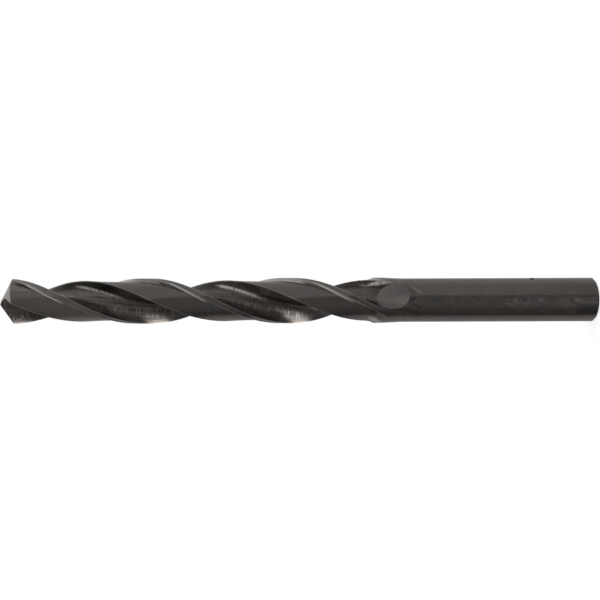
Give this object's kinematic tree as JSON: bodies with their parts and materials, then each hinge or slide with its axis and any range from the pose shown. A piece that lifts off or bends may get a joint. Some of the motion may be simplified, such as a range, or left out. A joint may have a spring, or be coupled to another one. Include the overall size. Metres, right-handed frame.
{
  "type": "twist drill bit",
  "caption": "Parallel-shank twist drill bit with right-hand helical flutes, narrow margins, relieved lands and a 118 degree chisel point.",
  "frame": {"origin": "centre of the flat end face of the shank", "axes": "+Z along the drill's axis, from the shank to the cutting point; +X is the side that faces up in the picture"},
  "size_m": [0.0102, 0.0102, 0.133],
  "materials": {
    "dark_tool_steel": "dark oxide-finished tool steel, ground and satin, brighter where it is worn"
  },
  "bodies": {
    "root": {"twist_drill": "dark_tool_steel"}
  },
  "joints": []
}
